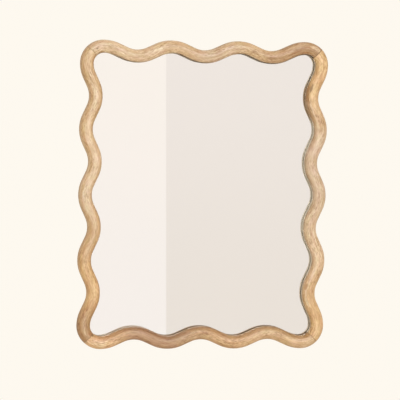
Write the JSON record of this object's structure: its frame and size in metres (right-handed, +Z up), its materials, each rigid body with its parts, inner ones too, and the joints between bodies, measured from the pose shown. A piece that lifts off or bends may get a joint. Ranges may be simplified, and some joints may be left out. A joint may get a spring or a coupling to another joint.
{
  "type": "wall mirror",
  "caption": "Upright wall mirror in a scalloped, round-nosed wooden frame with mitred corners, hung by swinging rings on its screwed back panel.",
  "frame": {"origin": "on the wall plane, behind the middle of the mirror", "axes": "+X to the right seen from the front, +Y into the wall, +Z up; the front faces -Y"},
  "size_m": [0.61, 0.041, 0.75],
  "materials": {
    "frame_wood": "clear satin oil on golden-brown hardwood",
    "dowel_wood": "plain beech",
    "mirror": "silvered float glass",
    "card": "matt grey-brown board",
    "hardboard": "smooth brown hardboard",
    "zinc_steel": "bright zinc plate",
    "rubber": "matt black"
  },
  "bodies": {
    "frame": {"rail_top": "frame_wood", "rail_right": "frame_wood", "rail_bottom": "frame_wood", "rail_left": "frame_wood", "dowels_top_left": "dowel_wood", "dowels_top_right": "dowel_wood", "dowels_bottom_right": "dowel_wood", "dowels_bottom_left": "dowel_wood", "mirror_glass": "mirror", "card_liner": "card", "back_panel": "hardboard", "panel_screws": "zinc_steel", "hanger_strap_left": "zinc_steel", "hanger_screws_left": "zinc_steel", "hanger_strap_right": "zinc_steel", "hanger_screws_right": "zinc_steel", "bumper_left": "rubber", "bumper_right": "rubber"},
    "ring_left": {"hanger_ring_left": "zinc_steel"},
    "ring_right": {"hanger_ring_right": "zinc_steel"}
  },
  "joints": [
    {"name": "ring_left_swing", "type": "hinge", "parent": "frame", "child": "ring_left", "pos_m": [-0.26675, -0.00322, 0.25708], "axis": [-1, 0, 0], "range_deg": [-3, 177]},
    {"name": "ring_right_swing", "type": "hinge", "parent": "frame", "child": "ring_right", "pos_m": [0.26675, -0.00322, 0.25708], "axis": [-1, 0, 0], "range_deg": [-3, 177]}
  ]
}
